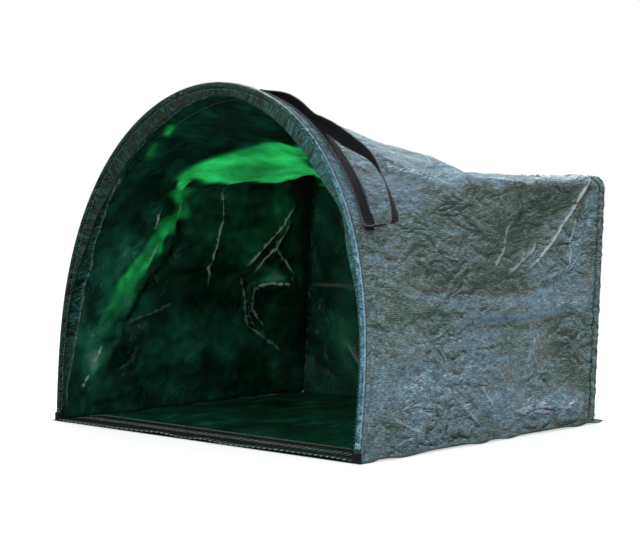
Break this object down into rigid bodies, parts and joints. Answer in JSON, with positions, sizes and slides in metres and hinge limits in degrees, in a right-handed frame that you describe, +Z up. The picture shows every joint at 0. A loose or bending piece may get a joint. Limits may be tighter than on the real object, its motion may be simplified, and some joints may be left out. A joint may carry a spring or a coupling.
{
  "type": "pop up leaf bag",
  "caption": "Pop up garden bag that lies on its base as a scoop: arched sprung mouth, square back, glossy woven sheet, coarse front lip and webbing loop handles.",
  "frame": {"origin": "middle of the underside of the floor sheet, on the ground", "axes": "+Z up, -Y out of the mouth, +X to the right as seen from the front"},
  "size_m": [0.7336, 0.6512, 0.5767],
  "materials": {
    "woven_tarpaulin": "gloss",
    "black_webbing": "matte",
    "coarse_strip": "satin",
    "fibreglass_rod": "satin",
    "black_plastic": "satin"
  },
  "bodies": {
    "bag": {"base_panel": "woven_tarpaulin", "lip_strip": "coarse_strip", "wrap_panel": "woven_tarpaulin", "back_panel": "woven_tarpaulin", "back_binding": "woven_tarpaulin", "corner_pocket_left": "black_webbing", "corner_pocket_right": "black_webbing"},
    "hoop": {"hoop_rod": "fibreglass_rod", "hoop_sleeve": "woven_tarpaulin", "rod_cap_left": "black_plastic", "rod_cap_right": "black_plastic", "handle_strip_left": "black_webbing", "handle_strip_right": "black_webbing"},
    "handle_left": {"handle_loop_left": "black_webbing"},
    "handle_right": {"handle_loop_right": "black_webbing"}
  },
  "joints": [
    {"name": "mouth_fold", "type": "hinge", "parent": "bag", "child": "hoop", "pos_m": [0, -0.3145, 0.0068], "axis": [-1, 0, 0], "range_deg": [0, 72], "stiffness_Nm_per_rad": 1.5, "springref_deg": -0.46, "deforming": ["wrap_panel", "back_panel", "back_binding"]},
    {"name": "handle_left_swing", "type": "hinge", "parent": "hoop", "child": "handle_left", "pos_m": [-0.19545, -0.24275, 0.4639], "axis": [0.7691, 0.0552, 0.6367], "range_deg": [-25, 75], "deforming": ["handle_loop_left"]},
    {"name": "handle_right_swing", "type": "hinge", "parent": "hoop", "child": "handle_right", "pos_m": [0.19545, -0.24275, 0.4639], "axis": [0.7691, -0.0552, -0.6367], "range_deg": [-50, 50], "deforming": ["handle_loop_right"]}
  ]
}
